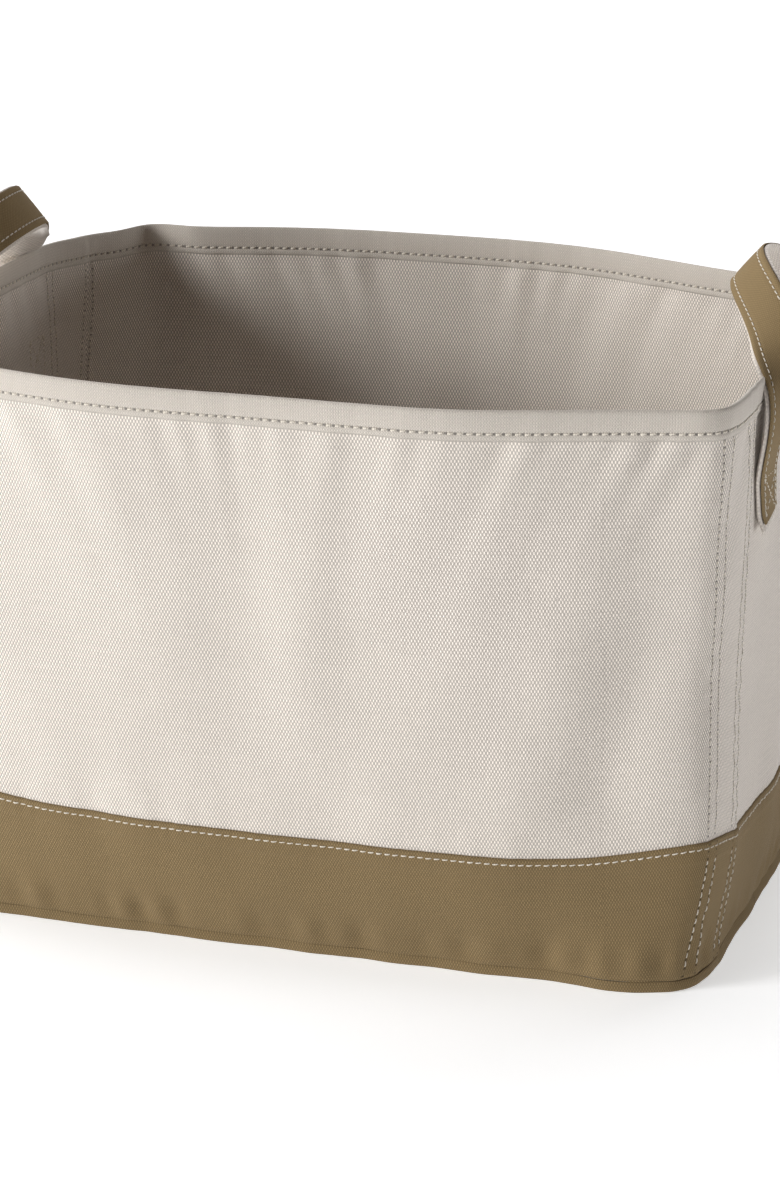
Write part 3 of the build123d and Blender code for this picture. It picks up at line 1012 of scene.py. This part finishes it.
def foot_middle(foot_y, slips, z):
    """The y of the middle of a foot at one height."""
    slip = slips[0] if foot_y < 0 else slips[1]
    return foot_y + slip * smoothstep(FOOT_HIGH + 14, FOOT_LOW - 6, z)


def end_wall(side, y, z, inset):
    """A point of an end wall at this y and height, and the outward direction there."""
    s = np.array([along_to(y * side, z)])
    return wall_row(s, z, inset, side)[0], outward(s, z, side)[0]


def strap_place(side, y, z, gap):
    """Where the middle of a strap is when it lies flat on an end wall, this gap away, and the
    direction across it towards +Y; both as on the right end."""
    ys = y + np.linspace(-0.5, 0.5, 7) * STRAP_WIDTH
    xs = np.array([abs(end_wall(side, v, z, END_INSET - HALF - gap)[0][0]) for v in ys])
    slope = (xs[-1] - xs[0]) / STRAP_WIDTH
    middle = np.array((np.max(xs - slope * (ys - y)), y, z))
    return middle, np.array((slope, 1.0, 0.0)) / math.hypot(slope, 1.0)


def foot_place(side, foot_y, slips, z):
    """The middle of a foot at one height, and the direction across it. Its raw end curls."""
    curl = 1.6 * max(0.0, (FOOT_LOW + 5 - z) / 5) ** 2
    return strap_place(side, foot_middle(foot_y, slips, z), z, 0.2 + curl)


def arch_path(side, foot_x, top_x, top_z, square, lean, turn, roll, flare):
    """The middle line of a handle's free loop as on the right end, and the direction across
    it, to the edge that ends up lower."""
    angle = np.linspace(0, math.pi, 121)
    s, c = np.sin(angle), np.cos(angle)
    high_rise = top_z - HANDLE_LOW
    y = -FOOT_Y * np.sign(c) * np.abs(c) ** (2 / square)
    rise = high_rise * np.clip(s, 0, 1) ** (2 / square)
    x = foot_x + flare * rise + (top_x - foot_x - flare * high_rise) * s ** lean
    arch = np.stack([x, y, HANDLE_LOW + rise], -1)
    outer_edge = np.stack([0 * s, -np.sign(np.where(np.abs(c) < 1e-9, 1, c)), 0 * s], -1)
    for k in np.flatnonzero(arch[:, 2] < RIM + 3):
        gap = 0.2 + 2.2 * float(smoothstep(TAPE_LOW - 8, TAPE_LOW, arch[k, 2]))
        place, wall_across = strap_place(side, arch[k, 1], min(arch[k, 2], RIM), gap)
        arch[k, 0] = max(arch[k, 0], place[0])
        outer_edge[k] = wall_across * np.sign(arch[k, 1])
    share = (s ** turn)[:, None]
    across = (1 - share) * outer_edge + share * np.array([-math.cos(roll), 0, -math.sin(roll)])
    keep = arch[:, 2] > HANDLE_LOW + 3.0
    return arch[keep], across[keep]


def handle_path(slips, **arch_sizes):
    """The middle line of a strap from its front foot to its rear one, with the directions
    across it and out of its covered face, and the distance along it."""
    side = arch_sizes["side"]
    foot_z = np.linspace(FOOT_LOW - 0.5, FOOT_HIGH - 5.5, 12)
    front, rear = (
        np.array([foot_place(side, foot_y, slips, z) for z in foot_z]) for foot_y in (-FOOT_Y, FOOT_Y)
    )
    arch, arch_across = arch_path(**arch_sizes)
    path = np.vstack([front[:, 0], arch, rear[::-1, 0]])
    across = np.vstack([-front[:, 1], arch_across, rear[::-1, 1]])
    run = run_along(path)
    even = np.linspace(0, run[-1], 181)
    path = blurred(points_at(even, run, path), 5)
    across = blurred(points_at(even, run, across), 7)
    along = unit(np.gradient(path, axis=0))
    across = unit(across - along * (across * along).sum(1, keepdims=True))
    face = -np.cross(across, along)
    for vectors in (path, across, face):
        vectors[:, 0] *= side
    return path, across, face, even


def strap_rings(path, across, face, profile, trim=0):
    """A flat profile of (across, out) points carried along a strap."""
    keep = slice(trim, len(path) - trim)
    return np.stack([path[keep] + across[keep] * w + face[keep] * h for w, h in profile], 1)


def rounded(width, low_h, high_h, crown=0.0, grooves=(), points=15):
    """The profile of a strip with round edges, a crown, and grooves where it is sewn."""
    half, middle, thick = width / 2, (low_h + high_h) / 2, (high_h - low_h) / 2

    def swell(w):
        """How far each face is from the strip's middle."""
        edge = min(1.0, (half - abs(w)) / thick)
        return thick * math.sqrt(max(0.0, 1 - (1 - edge) ** 2))

    top = []
    for w in np.linspace(-half, half, points * 2 + 1)[1:-1]:
        sewn_in = sum(0.3 * math.exp(-((w - g) / 0.8) ** 2) for g in grooves)
        top.append((w, middle + swell(w) + crown * (1 - (w / half) ** 2) - sewn_in))
    bottom = [(w, middle - swell(w)) for w in np.linspace(half, -half, points + 1)[1:-1]]
    return [(-half, middle)] + top + [(half, middle)] + bottom


def cap_ends(faces, rows, columns):
    """Closes the two ends of a tube of rings."""
    first = tuple(range(columns))[::-1]
    last = tuple(range((rows - 1) * columns, rows * columns))
    return [tuple(f) for f in faces] + [first, last]


def frayed_end(end, across, face, count=26):
    """Loose ends of yarn that hang from the raw end of the webbing, in the same form as
    stitches() gives."""
    sides, steps = 4, 5
    share = np.linspace(0, 1, steps)
    places = rng.uniform(-STRAP_WIDTH / 2 + 0.8, STRAP_WIDTH / 2 - 0.8, count)
    depths = rng.uniform(-HALF + 0.4, WEBBING - HALF - 0.3, count)
    lengths = rng.uniform(1.6, 3.6, count)
    leans = rng.normal(0, 0.9, (count, 2))
    down = np.array((0.0, 0.0, -1.0))
    centre = (
        end + across * places[:, None, None] + face * depths[:, None, None]
        + down * (share * lengths[:, None] - 0.8)[..., None]
        + (across * leans[:, :1, None] + face * (0.5 * leans[:, 1:, None] - 0.3)) * (share ** 2)[:, None]
    )
    girth = 0.21 * (1 - 0.55 * share)
    angles = (np.arange(sides) * 2 * math.pi / sides)[:, None]
    rings = centre[:, :, None] + (across * np.cos(angles) + face * np.sin(angles)) * girth[:, None, None]
    quads, first_rings, last_rings = short_tubes(count, steps, sides)
    caps = np.concatenate([first_rings[:, ::-1], last_rings])
    uv = np.stack(np.broadcast_arrays(places[:, None] * MM, share * 0.004), -1).reshape(-1, 2)
    return rings.reshape(-1, 3), quads, caps, uv.repeat(sides, axis=0)


ROW_IN = 3.6                               # the strap's stitches, from the edge of its cover
COVER_WIDTH = STRAP_WIDTH - 2.0
# The stitched box of a foot: its corners, as (across, up) from the foot's middle, and the
# corners that each of its rows joins.
BOX = np.array(((-8.5, -11.0), (8.5, -11.0), (8.5, 9.5), (-8.5, 9.5)))
BOX_ROWS = ((0, 1), (1, 2), (2, 3), (3, 0), (0, 2), (1, 3))


def box_row(side, slips, foot_y, start, end):
    """The path of a row of a foot's box on the strap, and on the inside of the wall, each with
    its normals."""
    middle_z = (FOOT_LOW + FOOT_HIGH) / 2
    as_side = np.array((side, 1.0, 1.0))
    line, normals, inner_line, inner_normals = [], [], [], []
    for share in np.linspace(0, 1, 9):
        w, h = start + (end - start) * share
        z = middle_z + h
        middle, across = foot_place(side, foot_y, slips, z)
        out = np.array((across[1], -across[0], 0.0))
        rise = HALF - 0.05 + 0.2 * (1 - (2 * w / COVER_WIDTH) ** 2)
        line.append((middle + across * w + out * rise) * as_side)
        normals.append(out * as_side)
        place, facing = end_wall(side, middle[1] + w, z, INNER_THREAD)
        inner_line.append(place)
        inner_normals.append(-facing)
    return (np.array(line), np.array(normals)), (np.array(inner_line), np.array(inner_normals))


foot_rows, foot_rows_inside = [], []
for name, sizes in HANDLES.items():
    path, across, face, along = handle_path(**sizes)
    grooves = (-COVER_WIDTH / 2 + ROW_IN, COVER_WIDTH / 2 - ROW_IN)
    web_profile = rounded(STRAP_WIDTH, -HALF, WEBBING - HALF)
    cover_profile = rounded(COVER_WIDTH, WEBBING - HALF + 0.03, HALF, 0.25, grooves)
    for part, node, slot, material, profile, trim in (
        ("webbing", "strap", "cream_webbing", strap_webbing, web_profile, 0),
        ("cover", "cover", "olive_canvas", olive_cover, cover_profile, 2),
    ):
        rings = strap_rings(path, across, face, profile, trim)
        points, faces = ring_tube(rings, closed_run=False)
        faces = cap_ends(faces, *rings.shape[:2])
        widths = np.array([w for w, _ in profile])
        run = along[trim:len(along) - trim]
        uv = np.stack(np.broadcast_arrays(widths[None, :], run[:, None]), -1).reshape(-1, 2) * MM
        piece = mesh(f"{name}_strap_{part}", points, faces, uv, material, body=None, sharp=60)
        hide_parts(f"{name}_handle_{node}", f"{name}_front_foot_{node}", f"{name}_rear_foot_{node}")
        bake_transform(piece)

    rows = []
    for groove in grooves:
        line = path + across * groove + face * (HALF - 0.08)
        rows.append(stitches(line[4:-4], face[4:-4], 3.3, 0.27, 0.26, slant=0.2))
    thread = sew(f"{name}_strap_thread", rows, body=None)
    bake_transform(thread)
    frays = [frayed_end(path[k], across[k], face[k]) for k in (0, -1)]
    sew(f"{name}_strap_frays", frays, strap_webbing)

    for foot_y in (-FOOT_Y, FOOT_Y):
        for a, b in BOX_ROWS:
            on_strap, on_wall = box_row(sizes["side"], sizes["slips"], foot_y, BOX[a], BOX[b])
            foot_rows.append(stitches(*on_strap, 3.2, 0.27, 0.26))
            foot_rows_inside.append(stitches(*on_wall, 3.2, 0.27, 0.26))
sew("foot_thread", foot_rows, node="foot_stitching")
sew("foot_thread_inside", foot_rows_inside)


# --- floor, light and camera ----------------------------------------------------------------

FLOOR_SIZE = 60.0                          # metres, each way from the middle


def floor():
    """A white studio floor that lights the bin a little from below."""
    corners = [(x * FLOOR_SIZE, y * FLOOR_SIZE, 0) for x, y in ((-1, -1), (1, -1), (1, 1), (-1, 1))]
    data = bpy.data.meshes.new("floor")
    data.from_pydata(corners, [], [(0, 1, 2, 3)])
    material = bpy.data.materials.new("floor_white")
    material.use_nodes = True
    shader = material.node_tree.nodes["Principled BSDF"]
    shader.inputs["Base Color"].default_value = (0.93, 0.93, 0.93, 1)
    shader.inputs["Roughness"].default_value = 0.9
    shader.inputs["Specular IOR Level"].default_value = 0.1
    shader.inputs["Emission Color"].default_value = (0.955, 0.98, 1.0, 1)
    shader.inputs["Emission Strength"].default_value = 0.50
    data.materials.append(material)
    piece = bpy.data.objects.new("floor", data)
    bpy.context.scene.collection.objects.link(piece)


def sun(name, azimuth, elevation, spread, strength, colour=(1.0, 1.0, 1.0)):
    """A broad soft light from far off. Azimuth 0 is from the front, 90 from the right."""
    light = bpy.data.lights.new(name, "SUN")
    light.energy = strength
    light.angle = math.radians(spread)
    light.color = colour
    lamp = bpy.data.objects.new(name, light)
    bpy.context.scene.collection.objects.link(lamp)
    a, e = math.radians(azimuth), math.radians(elevation)
    aim(lamp, (math.sin(a) * math.cos(e), -math.cos(a) * math.cos(e), math.sin(e)), (0, 0, 0))


def aim(thing, place, target):
    """Puts a light or camera at a place, looking at a target, level."""
    thing.location = place
    way = mathutils.Vector(target) - mathutils.Vector(place)
    thing.rotation_euler = way.to_track_quat("-Z", "Y").to_euler()


floor()
world = bpy.data.worlds.new("studio")
bpy.context.scene.world = world
world.use_nodes = True
world.node_tree.nodes["Background"].inputs["Color"].default_value = (1.0, 0.60, 0.48, 1)
world.node_tree.nodes["Background"].inputs["Strength"].default_value = 0.035
sun("key", -52, 20, 20, 2.15)
sun("low_front", -35, 9, 20, 0.78)
sun("low_left", -90, 8, 16, 0.45)
sun("high_left", -115, 35, 50, 1.1)
sun("back", 180, 45, 60, 0.95)
sun("low_right", 104, 4, 8, 0.66)

bpy.context.scene.view_settings.view_transform = "Standard"

AZIMUTH = math.radians(17.65)
ELEVATION = math.radians(18.0)
DISTANCE = 1.990
target = (0.0102, -0.0076, RIM / 2 * MM)
eye = (
    target[0] + DISTANCE * math.sin(AZIMUTH) * math.cos(ELEVATION),
    target[1] - DISTANCE * math.cos(AZIMUTH) * math.cos(ELEVATION),
    target[2] + DISTANCE * math.sin(ELEVATION),
)
camera_data = bpy.data.cameras.new("camera")
camera_data.lens = 123.7
camera_data.sensor_width = 36.0
camera_data.clip_end = 200.0
camera = bpy.data.objects.new("camera", camera_data)
bpy.context.scene.collection.objects.link(camera)
aim(camera, eye, target)
bpy.context.scene.camera = camera

bpy.context.view_layer.update()
